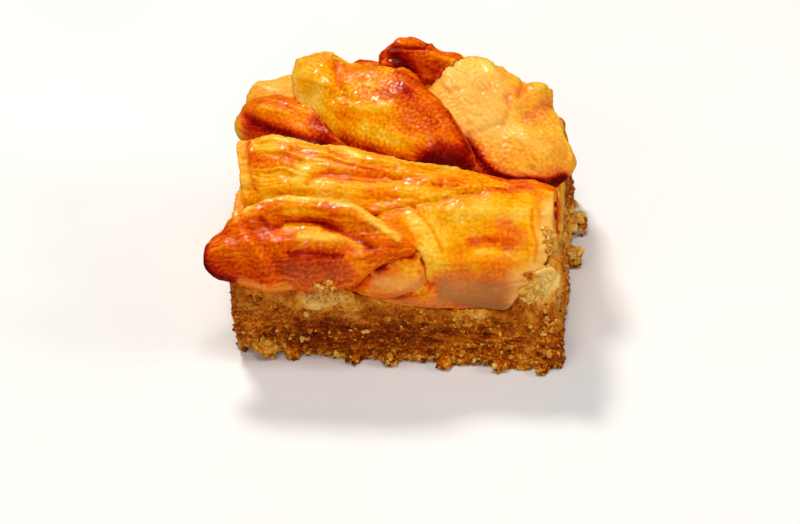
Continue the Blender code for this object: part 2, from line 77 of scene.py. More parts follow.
SLICE_SWELL = 0.2  # closes the gap between the slices
JOINT_OVERLAP = 0.8  # closes the gap between the custard and the base
SHADE_UNDER_REACH = 2.0  # how far the painted shade reaches on a slice from where another solid lies on it
SHADE_UNDER_FADE = 1.6  # how quickly that painted shade fades with distance
SHADE_UNDER_SLOPE = 0.3  # how steeply above a point the other solid has to lie
# how much darker and less pale the painted shade under another solid makes a slice
SHADE_UNDER_BAKE = 2.0
SHADE_UNDER_CREAM = -0.3
# painted shade in the hollows of a slice and painted highlight on its ridges
HOLLOW_SHADE = 0.4
HOLLOW_STEPS = 24  # how broad a hollow of a slice counts as one
SIDE_HOLLOW_STEPS = 5

# How far a point has to face the camera for a stroke to begin on it, and to be full
STROKE_BEGINS = -0.45
STROKE_FULL = 0.05

FLAT = 0.995  # the upright share of the normal from which a surface is flat
FLAT_SHARE_REMOVED = 0.97
FLAT_WEIGHT = 1000.0

# The relief of a slice, in millimetres. Its SliceLook holds the other heights.
LOBE_LENGTH = 9.0
LOBE_HEIGHT = 0.35
WRINKLE_LENGTH = 3.0
CRINKLE_LENGTH = 1.5
PEBBLE_LENGTH = 1.05
BLOTCH_LENGTH = 8.0

CRUMB_COUNT = 2300
CURD_COUNT = 500
FOOT_CRUMB_COUNT = 560
FOOT_TOP = 1.6  # below this height the crumbs are larger and closer together
SEEN_SQUARE = 3  # the width in pixels in which only the nearest points count as seen
SEEN_DEPTH = 0.6  # how much deeper than the nearest one such a point may lie

# Large odd numbers that scramble the numbers of a cell
CELL_SCRAMBLE = (374761393, 668265263, 2147483647)
SEED_SCRAMBLE = 144665
LAST_SCRAMBLE = 1274126177
RANDOM_ROWS = np.random.default_rng(4).random((4096, 4))

FLOOR_HALF_WIDTH = 3.0  # in metres


class Stroke(NamedTuple):
    """A crease, ridge, browned streak, painted highlight or painted shade drawn through pixels of the
    photograph.
    """

    path: tuple
    reach: float  # how far it spreads to each side, in millimetres
    height: float = 0.0  # how far it raises the surface, or lowers it when negative
    bake: float = 0.0  # how much browner it is or how much painted shade it adds; when negative, how much paler it is or how much painted highlight it adds
    cream: float = 0.0  # how much it fades to pale flesh, which some painted highlights add to


def spot(x, y, reach, **values):
    """A stroke at a single place."""
    return Stroke(((x, y),), reach, **values)


@dataclass(frozen=True)
class SliceLook:
    """How one apple slice is cooked."""

    bake: float = 1.4  # 0 pale, 1 yellow, 2 orange, 3 red-brown, 4 burnt
    cream: float = 0.0
    edge_bake: float = 0.4  # extra browning along its edges
    wrinkle: float = 0.3  # height of the wrinkles along it
    crinkle: float = 0.07  # height of the short fine wrinkles
    pebble: float = 0.10  # height of its fine grain
    blotch: float = 0.6  # unevenness of the browning
    cell: float = SLICE_CELL
    strokes: tuple = ()


FRONT_LEFT_STROKES = (
    # pale rim along the top
    Stroke(((246, 212), (256, 202), (277, 199), (328, 200), (359, 210), (398, 239)),
           0.8, height=0.2, bake=-1.5, cream=0.25),
    # upper lip, with painted highlights on it
    Stroke(((280, 212), (305, 211), (328, 214), (350, 226), (372, 240)), 1.2, height=0.5, bake=-0.2),
    Stroke(((287, 211), (308, 211), (326, 214)), 0.8, bake=-0.7),
    # red fold under the lip
    Stroke(((261, 219), (271, 229), (287, 223), (308, 221), (322, 224), (338, 231), (355, 241), (375, 249)),
           0.8, height=-0.25, bake=1.1),
    Stroke(((322, 220), (345, 230), (364, 241)), 1.5, bake=0.2),
    Stroke(((344, 214), (366, 222), (382, 232)), 1.4, bake=-0.4),
    Stroke(((212, 262), (240, 270), (262, 276)), 2.4, bake=0.75),
    Stroke(((290, 272), (320, 276), (346, 272)), 2.6, bake=0.8, cream=0.1),
    # tongue inside the fold and the lower lip, with painted highlights on them, and painted shade under the
    # lower lip
    Stroke(((285, 227), (300, 227), (318, 230)), 0.9, height=0.5, bake=-1.0),
    Stroke(((300, 237), (318, 237), (346, 240), (360, 247)), 1.1, height=0.6, bake=-1.3, cream=0.15),
    Stroke(((287, 246), (308, 245), (328, 246), (351, 250)), 1.4, height=0.4, bake=-0.1),
    Stroke(((290, 254), (308, 253), (324, 254), (340, 257)), 0.9, height=-0.5, bake=0.9),
    Stroke(((298, 262), (330, 263)), 2.2, bake=0.4),
    # browned end and lower edge
    Stroke(((204, 244), (204, 268)), 1.1, bake=1.6),
    Stroke(((204, 268), (216, 275), (234, 281)), 1.1, bake=1.6),
    Stroke(((240, 281), (256, 284), (270, 289), (290, 288)), 0.7, bake=-0.6, cream=0.2),
    # folds on the left part
    Stroke(((246, 224), (260, 240), (272, 256), (280, 272)), 1.8, height=-0.7, bake=0.5),
    Stroke(((226, 232), (240, 246), (254, 262)), 1.6, height=-0.3, bake=0.3),
    Stroke(((236, 222), (252, 240), (262, 256)), 1.2, height=0.3, bake=-0.3),
    Stroke(((346, 260), (360, 266)), 1.6, bake=-0.4),
    Stroke(((230, 224), (256, 212)), 1.4, height=0.3, bake=-0.3),
)

FRONT_RIGHT_STROKES = (
    # streaky rim along the top
    Stroke(((440, 193), (480, 189), (530, 192), (546, 198)), 1.1, bake=0.8),
    Stroke(((538, 202), (541, 225)), 1.1, bake=0.6),
    # browned bulge with painted highlights round it
    Stroke(((464, 212), (500, 208), (520, 218)), 3.0, height=0.5, bake=-0.2),
    Stroke(((468, 226), (500, 224), (520, 230)), 1.6, bake=0.3),
    Stroke(((472, 243), (490, 243), (508, 246)), 1.7, bake=0.9),
    Stroke(((470, 240), (484, 238), (494, 241)), 0.7, bake=0.6),
    Stroke(((470, 262), (500, 263)), 2.6, height=0.2, bake=0.5),
    spot(513, 254, 1.6, bake=-0.5),
    Stroke(((476, 252), (506, 254)), 0.6, bake=-0.6),
    Stroke(((445, 228), (456, 250), (460, 268)), 2.0, height=-0.6, bake=0.3),
    # a thin crease from top to bottom, and a bright facet beside it
    Stroke(((405, 200), (415, 209), (433, 231), (442, 250)), 0.6, height=-0.3, bake=0.6),
    Stroke(((412, 222), (428, 242), (438, 264)), 2.2, height=0.3, bake=-0.5),
    Stroke(((398, 224), (414, 242), (428, 260)), 1.2, height=-0.3, bake=0.5),
    # flesh where the knife went through, and its browned lower edge
    Stroke(((446, 284), (478, 289), (504, 290)), 3.0, bake=2.1, cream=0.36),
    Stroke(((444, 296), (476, 305), (508, 310)), 1.8, bake=1.9, cream=0.2),
    Stroke(((372, 290), (400, 298), (440, 304)), 1.5, bake=1.3, cream=0.25),
    # crumbling right end
    Stroke(((532, 212), (532, 228), (537, 243), (535, 262)), 0.6, height=-0.4, bake=0.5),
    Stroke(((550, 206), (546, 230), (545, 250), (540, 268)), 1.7, bake=-0.3, cream=0.7),
    spot(545, 216, 0.9, height=0.5, bake=-0.2),
    spot(549, 232, 1.0, height=0.5, bake=0.2),
    spot(543, 247, 1.1, height=0.6, bake=-0.2),
    spot(546, 260, 0.8, height=0.4, bake=0.2),
    Stroke(((518, 278), (532, 272)), 2.2, bake=-0.4, cream=0.6),
    Stroke(((514, 300), (524, 286)), 1.6, bake=-0.2, cream=0.5),
    # the edges that the long slice and the front middle one lie on; the front middle one's edge is raised
    # and made paler to lessen the painted shade under it
    Stroke(((418, 246), (428, 258), (430, 272), (424, 286), (408, 294)), 1.3, height=1.0, bake=-0.5),
    Stroke(((378, 216), (425, 206), (480, 195)), 1.2, height=-0.2, bake=0.2),
)

FRONT_MIDDLE_STROKES = (
    Stroke(((418, 250), (426, 262), (427, 276), (420, 288)), 0.9, height=-0.5, bake=0.2),
    # a painted highlight
    Stroke(((404, 262), (410, 272)), 1.6, height=0.3, bake=-0.6),
    # painted shade at its left end
    Stroke(((384, 258), (376, 268)), 1.8, bake=1.6),
    Stroke(((380, 282), (420, 286)), 1.6, bake=0.3, cream=0.45),
)

MIDDLE_LEFT_STROKES = (
    # pale bevelled end
    Stroke(((252, 142), (252, 158), (253, 173), (257, 188)), 0.5, height=0.3, bake=0.3),
    Stroke(((239, 141), (243, 160), (246, 182)), 1.3, height=-0.2, bake=-0.75, cream=0.15),
    Stroke(((258, 148), (280, 150), (302, 153)), 1.3, bake=-0.75),
    Stroke(((262, 176), (300, 182), (330, 190)), 2.2, bake=-0.3),
    Stroke(((440, 180), (480, 184), (520, 190)), 1.6, bake=0.35),
    Stroke(((370, 212), (400, 205), (425, 200), (452, 194), (478, 189)), 0.9, height=0.55, bake=-0.2),
    Stroke(((236, 138), (252, 137), (271, 137), (288, 140), (316, 143), (345, 150), (360, 158)),
           0.8, height=0.3, bake=-0.8),
    Stroke(((258, 158), (272, 163), (288, 160)), 3.0, bake=0.7),
    Stroke(((282, 170), (300, 174)), 2.0, height=0.2, bake=-0.7),
    # long wrinkles
    Stroke(((300, 148), (330, 156), (360, 166), (400, 174)), 0.6, height=0.4, bake=-0.3),
    Stroke(((292, 150), (320, 156), (350, 166), (384, 172)), 0.6, height=-0.4, bake=0.7),
    Stroke(((330, 154), (360, 163), (395, 170)), 0.6, height=-0.4, bake=0.7),
    Stroke(((308, 184), (312, 177), (328, 174), (352, 176), (390, 178), (440, 186)),
           0.8, height=-0.8, bake=0.8),
    Stroke(((330, 179), (352, 181), (390, 182)), 0.5, height=-0.4, bake=0.5),
    Stroke(((322, 180), (352, 178), (390, 180), (430, 184)), 0.5, height=0.4, bake=-0.4),
    Stroke(((300, 190), (330, 186), (360, 188), (400, 190), (440, 193)), 1.5, height=0.5, bake=-0.3),
)

BACK_LEFT_STROKES = (
    Stroke(((246, 116), (256, 122), (270, 128), (290, 134), (310, 140), (326, 145)),
           1.2, height=-0.6, bake=1.5),
    Stroke(((250, 128), (280, 138), (320, 148)), 1.8, bake=1.0),
    Stroke(((237, 112), (236, 124), (240, 134)), 1.1, bake=-1.0, cream=0.15),
    # painted shade where the centre slice lies over it
    Stroke(((316, 122), (326, 134), (338, 146)), 1.8, bake=1.3),
    # painted highlights on its top
    Stroke(((258, 108), (272, 110), (288, 114)), 0.8, height=0.3, bake=-0.4),
    Stroke(((256, 102), (272, 102), (290, 106)), 1.4, bake=0.4),
)

LEFT_RIM_STROKES = (
    Stroke(((272, 76), (292, 74)), 1.6, height=-1.2),
    Stroke(((250, 84), (262, 80)), 1.0, height=0.3),
    Stroke(((262, 90), (284, 92)), 1.6, bake=0.3),
)

CENTRE_TOP_STROKES = (
    # dark tip and browned edges
    Stroke(((428, 162), (448, 166), (464, 168)), 3.0, bake=3.0),
    Stroke(((440, 148), (462, 152)), 2.2, bake=1.2),
    Stroke(((345, 140), (372, 149), (404, 158)), 1.6, bake=1.2),
    Stroke(((296, 62), (292, 80), (302, 100)), 0.8, bake=-0.3, cream=0.1),
    Stroke(((398, 72), (423, 84), (437, 96), (449, 111), (460, 133), (468, 148)), 1.3, height=0.2, bake=1.1),
    Stroke(((372, 158), (400, 167), (430, 174)), 1.5, bake=1.8),
    Stroke(((330, 136), (350, 148), (380, 158)), 0.9, bake=0.8),
    Stroke(((392, 92), (415, 106), (440, 130)), 3.6, bake=0.9),
    Stroke(((400, 84), (408, 92)), 1.2, bake=0.7),
    # painted highlights
    Stroke(((296, 96), (320, 106)), 1.6, height=0.1, bake=-0.4),
    Stroke(((352, 106), (368, 108), (388, 106)), 0.9, height=0.2, bake=-0.7),
    Stroke(((366, 128), (392, 138)), 1.9, bake=-0.6),
    Stroke(((368, 84), (372, 87)), 0.8, height=0.2, bake=-0.8),
    # its upper edge
    Stroke(((304, 55), (316, 52), (332, 52), (352, 60), (370, 62)), 1.4, height=-1.1),
    spot(300, 60, 0.9, height=0.4),
    # a lobe with a crease beside it
    Stroke(((337, 56), (336, 70), (338, 82), (345, 96)), 0.9, height=-0.7, bake=0.45),
    Stroke(((310, 68), (316, 92)), 4.0, bake=-0.35),
    Stroke(((302, 58), (334, 56)), 0.9, cream=0.15),
    Stroke(((346, 66), (372, 70), (394, 76)), 1.8, bake=0.4),
)

BACK_RIGHT_STROKES = (
    # a raised pale plateau
    Stroke(((462, 96), (478, 110), (492, 112)), 4.2, height=0.3, cream=0.5),
    Stroke(((455, 128), (500, 132)), 2.6, cream=0.3),
    Stroke(((440, 76), (480, 80), (500, 84)), 2.0, cream=0.25),
    Stroke(((507, 98), (509, 110), (504, 124)), 0.8, height=-0.5, bake=0.8),
    Stroke(((500, 124), (486, 130), (470, 134)), 0.7, height=-0.3, bake=0.4),
    Stroke(((524, 118), (536, 112)), 1.6, height=-0.3, bake=0.5),
    Stroke(((422, 76), (436, 68), (460, 70), (490, 72)), 1.8, bake=-1.0, cream=0.2),
    Stroke(((426, 66), (440, 60), (464, 62)), 1.3, bake=-1.0, cream=0.25),
    Stroke(((432, 72), (448, 72)), 1.6, bake=-0.9, cream=0.2),
    spot(432, 62, 1.2, height=0.4),
    spot(456, 60, 1.2, height=-0.5),
    spot(482, 62, 1.3, height=0.2),
    Stroke(((498, 64), (508, 68)), 1.2, height=-0.7),
    Stroke(((533, 80), (541, 79)), 1.0, height=0.7),
    spot(548, 88, 1.0, height=-0.4),
    # short wrinkles across the upper edge
    Stroke(((424, 70), (431, 84)), 0.6, height=-0.3, bake=0.3),
    Stroke(((435, 62), (441, 78)), 0.7, height=-0.35, bake=0.3),
    Stroke(((452, 64), (458, 76)), 0.9, height=-0.25, bake=0.2),
    Stroke(((468, 62), (467, 80)), 0.7, height=-0.3, bake=0.3),
    Stroke(((498, 68), (493, 78)), 0.6, height=-0.3, bake=0.2),
    # a bump between two notches
    spot(538, 86, 2.0, height=0.3, bake=-0.4),
    Stroke(((525, 80), (519, 96)), 0.8, height=-1.3, bake=0.4),
    spot(549, 106, 1.0, height=-0.4, bake=0.6),
    Stroke(((530, 120), (545, 150), (560, 165)), 2.6, bake=0.35),
    Stroke(((545, 96), (543, 110)), 1.4, bake=0.4),
    Stroke(((512, 134), (528, 142), (548, 150)), 1.4, height=0.2, bake=-0.3, cream=0.2),
    # browned lower edge
    Stroke(((466, 140), (480, 160), (490, 172), (500, 182)), 1.6, bake=2.8, cream=-0.4),
    Stroke(((500, 181), (525, 183), (547, 184), (562, 178)), 1.3, bake=4.2, cream=-0.6),
    Stroke(((500, 174), (530, 176), (556, 171)), 1.2, bake=0.5),
)

BACK_TOP_STROKES = (
    Stroke(((374, 60), (380, 52), (388, 44)), 1.5, height=-1.2),
    Stroke(((393, 41), (396, 38)), 0.6, height=0.4),
    Stroke(((428, 40), (430, 46)), 0.6, height=0.5, bake=0.5),
    Stroke(((396, 58), (402, 66), (410, 76)), 2.0, height=-0.4, bake=1.9),
    Stroke(((396, 42), (425, 43)), 0.6, height=0.3, bake=-0.4),
    Stroke(((394, 48), (426, 48)), 0.5, height=-0.6, bake=0.9),
    Stroke(((386, 54), (384, 62)), 0.8, bake=-0.6),
    Stroke(((432, 56), (460, 62)), 1.0, height=0.2, bake=-1.0),
)

# The side of the base and the custard: bake makes it darker, and cream paler
SIDE_STROKES = (
    Stroke(((300, 332), (360, 336), (420, 342)), 3.4, bake=0.12),
    Stroke(((246, 322), (270, 332)), 3.4, cream=0.08),
    Stroke(((470, 340), (540, 346)), 3.4, cream=0.08),
    Stroke(((262, 350), (286, 354)), 2.2, cream=0.3),
    spot(246, 346, 1.6, cream=0.22),
    Stroke(((268, 340), (300, 344)), 1.2, bake=0.16),
    Stroke(((400, 352), (470, 358), (545, 362)), 1.8, cream=0.16),
    Stroke(((456, 312), (478, 318)), 1.2, cream=0.3),
    Stroke(((380, 300), (404, 300), (428, 302)), 1.2, height=0.2, cream=0.36),
    Stroke(((344, 296), (356, 302)), 1.0, height=0.2, cream=0.24),
    Stroke(((372, 294), (376, 300)), 0.8, height=0.2, cream=0.3),
    Stroke(((474, 310), (500, 316)), 1.0, height=0.2, cream=0.2),
    Stroke(((530, 296), (551, 294)), 1.8, cream=0.22),
    Stroke(((541, 270), (551, 280)), 2.2, cream=0.85),
    # lumps on the right side
    Stroke(((578, 208), (575, 226)), 1.6, cream=0.6),
    Stroke(((572, 242), (575, 264)), 1.6, cream=0.55),
    Stroke(((561, 262), (561, 325)), 1.3, cream=0.24),
    # curds in the corner
    spot(524, 290, 1.0, height=0.7, cream=0.3),
    spot(536, 297, 1.1, height=0.7, cream=0.2),
    spot(547, 291, 1.0, height=0.5, cream=0.25),
    spot(533, 283, 1.0, height=0.5, cream=0.35),
    spot(543, 303, 0.9, height=0.4, cream=0.1),
    Stroke(((549, 215), (557, 240), (552, 262)), 2.0, cream=0.25),
    Stroke(((498, 322), (508, 328), (524, 322)), 0.9, bake=0.22),
    # the broken flake, with holes pressed into it and painted shade in them
    Stroke(((302, 293), (312, 302), (326, 304), (338, 298)), 1.3, height=0.6, cream=0.5),
    Stroke(((314, 293), (326, 295)), 1.2, height=0.3, cream=0.4),
    Stroke(((322, 288), (325, 291)), 0.5, height=-0.8, bake=0.7),
    Stroke(((331, 296), (333, 299)), 0.5, height=-0.7, bake=0.7),
    Stroke(((232, 284), (232, 320)), 1.6, bake=0.06),
)


class Cluster(NamedTuple):
    """Crumbs on what the photograph shows inside an ellipse."""

    middle: tuple
    radii: tuple
    count: int
    sizes: tuple  # the smallest and largest radius of a crumb, in millimetres
    tone: float  # 0 dark, 1 pale
    curd: float  # 0 crumb, 1 custard


CRUMB_CLUSTERS = (
    # at the left foot of the base
    Cluster((270, 348), (20, 9), 26, (0.4, 1.0), 0.72, 0.0),
    Cluster((250, 338), (10, 8), 12, (0.3, 0.6), 0.66, 0.0),
    Cluster((286, 338), (20, 5), 14, (0.25, 0.6), 0.66, 0.0),
    # pale crumbs along the front
    Cluster((420, 358), (40, 5), 24, (0.25, 0.6), 0.76, 0.0),
    Cluster((500, 350), (40, 8), 30, (0.2, 0.55), 0.66, 0.0),
    Cluster((466, 316), (16, 5), 10, (0.4, 0.8), 0.7, 0.3),
    Cluster((548, 330), (6, 26), 16, (0.3, 0.7), 0.7, 0.2),
    # golden lumps on the right side
    Cluster((577, 214), (7, 10), 12, (0.5, 1.0), 0.9, 0.0),
    Cluster((575, 252), (6, 12), 12, (0.5, 1.0), 0.85, 0.0),
)

CURD_CLUSTERS = (
    # the broken flake
    Cluster((321, 299), (18, 6), 44, (0.35, 0.95), 0.92, 1.0),
    Cluster((324, 287), (12, 6), 22, (0.35, 0.8), 0.72, 0.6),
    Cluster((352, 298), (10, 4), 6, (0.4, 0.8), 0.7, 1.0),
    # the front right corner
    Cluster((547, 277), (7, 11), 30, (0.4, 1.1), 1.0, 1.0),
    Cluster((532, 294), (14, 8), 36, (0.35, 1.0), 0.84, 0.8),
    Cluster((548, 238), (5, 14), 12, (0.7, 1.3), 0.72, 0.5),
)

HIDDEN_SIDE = SliceLook(bake=1.6, cream=0.2, wrinkle=0.7, crinkle=0.3, pebble=0.4, blotch=1.1)

SLICES = {
    "apple_centre_top": SliceLook(
        bake=1.35, wrinkle=0.12, crinkle=0.05, pebble=0.18, cell=FINE_CELL, strokes=CENTRE_TOP_STROKES,
    ),
    "apple_front_left": SliceLook(
        bake=2.05, wrinkle=0.24, crinkle=0.1, pebble=0.12, blotch=0.4, cell=FINE_CELL,
        strokes=FRONT_LEFT_STROKES,
    ),
    "apple_back_right": SliceLook(
        bake=1.05, cream=0.2, edge_bake=0.3, wrinkle=0.26, crinkle=0.16, pebble=0.3, cell=FINE_CELL,
        strokes=BACK_RIGHT_STROKES,
    ),
    "apple_back_top": SliceLook(
        bake=2.6, edge_bake=0.2, wrinkle=0.45, crinkle=0.16, cell=FINE_CELL, strokes=BACK_TOP_STROKES,
    ),
    "apple_centre_back": SliceLook(bake=2.1),
    "apple_back_left": SliceLook(
        bake=1.7, wrinkle=0.12, blotch=0.4, cell=FINE_CELL, strokes=BACK_LEFT_STROKES,
    ),
    "apple_left_rim": SliceLook(bake=0.6, cream=0.3, edge_bake=0.2, strokes=LEFT_RIM_STROKES),
    "apple_middle_left": SliceLook(
        bake=1.32, wrinkle=0.34, crinkle=0.14, blotch=0.75, cell=FINE_CELL, strokes=MIDDLE_LEFT_STROKES,
    ),
    "apple_middle_right": SliceLook(bake=2.1, wrinkle=0.4),
    "apple_front_middle": SliceLook(bake=1.6, cream=0.1, strokes=FRONT_MIDDLE_STROKES),
    "apple_front_right": SliceLook(
        bake=1.05, wrinkle=0.14, crinkle=0.05, pebble=0.08, cell=FINE_CELL, strokes=FRONT_RIGHT_STROKES,
    ),
    "apple_rear_middle": SliceLook(bake=1.4),
    "apple_rear_right": SliceLook(bake=1.7),
    "apple_rear_left": SliceLook(bake=1.8),
    "apple_right_side": HIDDEN_SIDE,
    "apple_left_side": HIDDEN_SIDE,
}


def camera_axes():
    """The directions to the right, up and back of the camera."""
    azimuth, elevation, roll = (math.radians(a) for a in (CAMERA_AZIMUTH, CAMERA_ELEVATION, CAMERA_ROLL))
    back = np.array((
        math.sin(azimuth) * math.cos(elevation),
        -math.cos(azimuth) * math.cos(elevation),
        math.sin(elevation),
    ))
    level = np.array((math.cos(azimuth), math.sin(azimuth), 0.0))
    upright = np.cross(back, level)
    right = level * math.cos(roll) + upright * math.sin(roll)
    return right, np.cross(back, right), back


def camera_place():
    right, up, back = camera_axes()
    distance = FOCAL_PIXELS / PIXELS_PER_MM
    aside = (PHOTO_FOOT[0] - PHOTO_SIZE[0] / 2) / PIXELS_PER_MM
    above = (PHOTO_SIZE[1] / 2 - PHOTO_FOOT[1]) / PIXELS_PER_MM
    return FOOT_CORNER - right * aside - up * above + back * distance


def photo_pixels(points):
    """Where points fall in the photograph."""
    right, up, back = camera_axes()
    from_camera = points - camera_place()
    depth = -from_camera @ back
    return np.stack((
        PHOTO_SIZE[0] / 2 + FOCAL_PIXELS * (from_camera @ right) / depth,
        PHOTO_SIZE[1] / 2 - FOCAL_PIXELS * (from_camera @ up) / depth,
    ), axis=1)


def random_rows(cells, seed):
    """Four repeatable random numbers from 0 to 1 for each whole-number cell."""
    mixed = (cells * CELL_SCRAMBLE).sum(axis=1) + seed * SEED_SCRAMBLE
    mixed = (mixed ^ (mixed >> 13)) * LAST_SCRAMBLE
    return RANDOM_ROWS[(mixed >> 16) & (len(RANDOM_ROWS) - 1)]


def soft_noise(points, length, seed=0):
    """Smooth noise from about -1 to 1 with bumps about as wide as the length."""
    scaled = points / length
    base = np.floor(scaled).astype(np.int64)
    part = scaled - base
    fade = part ** 3 * (part * (part * 6 - 15) + 10)
    total = np.zeros(len(points))
    for corner in itertools.product((0, 1), repeat=3):
        step = np.array(corner)
        near = np.where(step, fade, 1 - fade)
        slope = random_rows(base + step, seed)[:, :3] * 2 - 1
        total += near[:, 0] * near[:, 1] * near[:, 2] * np.einsum("ij,ij->i", part - step, slope)
    return total * 1.6


def rough_noise(points, length, octaves, seed=0):
    """Several layers of smooth noise, each half as wide and half as strong as the last."""
    total = np.zeros(len(points))
    for octave in range(octaves):
        total += soft_noise(points, length / 2 ** octave, seed + 31 * octave) / 2 ** octave
    return total


def scattered_cells(points, size, seed=0):
    """The distance to the nearest of some scattered seeds, in cell sizes, and that seed's number."""
    scaled = points / size
    base = np.floor(scaled).astype(np.int64)
    nearest = np.full(len(points), 9.0)
    number = np.zeros(len(points))
    for offset in itertools.product((-1, 0, 1), repeat=3):
        cell = base + np.array(offset)
        row = random_rows(cell, seed)
        gap = scaled - cell - row[:, :3]
        far = np.einsum("ij,ij->i", gap, gap)
        closer = far < nearest
        nearest = np.where(closer, far, nearest)
        number = np.where(closer, row[:, 3], number)
    return np.sqrt(nearest), number


def ramp(value, low, high):
    """0 below low, 1 above high and smooth between them. High may be the lower one."""
    share = np.clip((value - low) / (high - low), 0.0, 1.0)
    return share * share * (3 - 2 * share)


def smoothed(points, edges, steps, share=0.5):
    """Evens out the points, and keeps the whole from shrinking by a step out after each step in."""
    count = np.bincount(edges.ravel(), minlength=len(points))[:, None]
    for step in range(2 * steps):
        total = np.stack([
            np.bincount(edges[:, 0], points[edges[:, 1], axis], len(points))
            + np.bincount(edges[:, 1], points[edges[:, 0], axis], len(points))
            for axis in range(3)
        ], axis=1)
        move = share if step % 2 == 0 else -share * REGROWTH
        points = points + move * (total / count - points)
    return points


def place_in_scene(name, data):
    piece = bpy.data.objects.new(name, data)
    bpy.context.scene.collection.objects.link(piece)
    return piece


class Skin:
    """A dense mesh in the form of one solid, with its points, normals and masks."""

    def __init__(self, node, cell, smooth_steps):
        self.node = node
        self.piece = place_in_scene(f"{node}_skin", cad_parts[node].data.copy())
        remesh = self.piece.modifiers.new("Remesh", "REMESH")
        remesh.mode = "VOXEL"
        remesh.voxel_size = cell * MM
        self.apply_modifiers()
        self.points = self.read("co") / MM
        edges = np.empty(len(self.mesh.edges) * 2, np.int64)
        self.mesh.edges.foreach_get("vertices", edges)
        self.edges = edges.reshape(-1, 2)
        self.points = smoothed(self.points, self.edges, smooth_steps)
        self.update()

    @property
    def mesh(self):
        return self.piece.data

    def apply_modifiers(self):
        graph = bpy.context.evaluated_depsgraph_get()
        mesh = bpy.data.meshes.new_from_object(self.piece.evaluated_get(graph))
        self.piece.modifiers.clear()
        self.piece.data = mesh

    def read(self, what):
        values = np.empty(len(self.mesh.vertices) * 3)
        self.mesh.vertices.foreach_get(what, values)
        return values.reshape(-1, 3)

    def update(self):
        """Writes the points to the mesh, and works out what follows from them."""
        self.mesh.vertices.foreach_set("co", (self.points * MM).ravel())
        self.mesh.update()
        self.normals = self.read("normal")
        towards = camera_place() - self.points
        towards /= np.linalg.norm(towards, axis=1)[:, None]
        self.facing = (self.normals * towards).sum(axis=1)
        self.pixels = photo_pixels(self.points)

    def raise_by(self, height):
        """Moves the points out along their normals, and keeps them in the box of the solids."""
        moved = self.points + self.normals * height[:, None]
        self.points = np.clip(moved, *solid_corners)
        self.update()

    def relief(self, steps):
        """1 in the hollows of the surface, -1 on its ridges and 0 where it is even."""
        depth = ((smoothed(self.points, self.edges, steps) - self.points) * self.normals).sum(axis=1)
        return np.clip(depth / (2 * depth.std()), -1, 1)

    def set_mask(self, name, values):
        mask = self.mesh.attributes.new(name, "FLOAT", "POINT")
        mask.data.foreach_set("value", values.astype(np.float32))

    def thin_out(self, flat):
        """Makes the flat stretches coarse again. The masks there are even enough to lose."""
        inside = flat.copy()
        rim = self.edges[flat[self.edges[:, 0]] != flat[self.edges[:, 1]]]
        inside[rim.ravel()] = False
        group = self.piece.vertex_groups.new(name="flat")
        group.add(np.flatnonzero(inside).tolist(), 1.0, "REPLACE")
        thin = self.piece.modifiers.new("Thin", "DECIMATE")
        thin.ratio = 1 - FLAT_SHARE_REMOVED * inside.mean()
        thin.vertex_group = group.name
        thin.vertex_group_factor = FLAT_WEIGHT
        self.apply_modifiers()

    def finish(self, material):
        self.mesh.shade_smooth()
        self.mesh.materials.clear()
        self.mesh.materials.append(material)
        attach(self.piece, "root")
        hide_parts(self.node)


def own_axes(points):
    """The middle of a slice, and its directions along, across and through."""
    middle = points.mean(axis=0)
    _, vectors = np.linalg.eigh(np.cov((points - middle).T))
    along, through = vectors[:, 2], vectors[:, 0]
    along = along * (1 if along[np.argmax(np.abs(along[:2]))] > 0 else -1)
    # through points up, or out of the tart for a slice that stands on its side
    outward = through[2] if abs(through[2]) > 0.3 else through[:2] @ middle[:2]
    through = through * (1 if outward > 0 else -1)
    return middle, along, np.cross(through, along), through


def stroke_weight(skin, stroke):
    """1 on a stroke's path, and less away from it, on the side that the photograph shows."""
    path = np.array(stroke.path, float)
    nearest = np.full(len(skin.points), 1e9)
    if len(path) == 1:
        nearest = np.linalg.norm(skin.pixels - path[0], axis=1)
    for start, end in zip(path, path[1:]):
        along = end - start
        share = np.clip((skin.pixels - start) @ along / (along @ along), 0.0, 1.0)
        gap = skin.pixels - start - share[:, None] * along
        nearest = np.minimum(nearest, np.linalg.norm(gap, axis=1))
    far = nearest / PIXELS_PER_MM / stroke.reach
    return np.exp(-far * far) * ramp(skin.facing, STROKE_BEGINS, STROKE_FULL)


def search_tree(left_out):
    """A tree that finds the nearest point on the solids other than one."""
    corners, faces = [], []
    for node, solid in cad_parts.items():
        if node != left_out:
            start = len(corners)
            corners += [tuple(corner.co / MM) for corner in solid.data.vertices]
            faces += [[start + corner for corner in face.vertices] for face in solid.data.polygons]
    return BVHTree.FromPolygons(corners, faces)


def shade_under_others(skin):
    """Painted shade: 1 where another solid lies right on the surface, 0 where none is near above it."""
    tree = search_tree(skin.node)
    share = np.zeros(len(skin.points))
    for number, point in enumerate(skin.points.tolist()):
        place, _, _, distance = tree.find_nearest(point, 2 * SHADE_UNDER_REACH)
        if place is not None and place.z > point[2] + SHADE_UNDER_SLOPE * distance:
            share[number] = math.exp(-SHADE_UNDER_FADE * distance / SHADE_UNDER_REACH)
    return share


def faded(mask, least):
    """1 where the mask is 1, and the least value where it is 0."""
    return least + (1 - least) * mask


def creases(local, bend, narrowing, length, seed):
    """Sharp creases between round ridges, drawn out along the slice by a low narrowing."""
    drawn_out = local * np.array((narrowing, 1.0, 1.0)) + bend
    return 1 - 2.4 * np.abs(rough_noise(drawn_out, length, 2, seed))


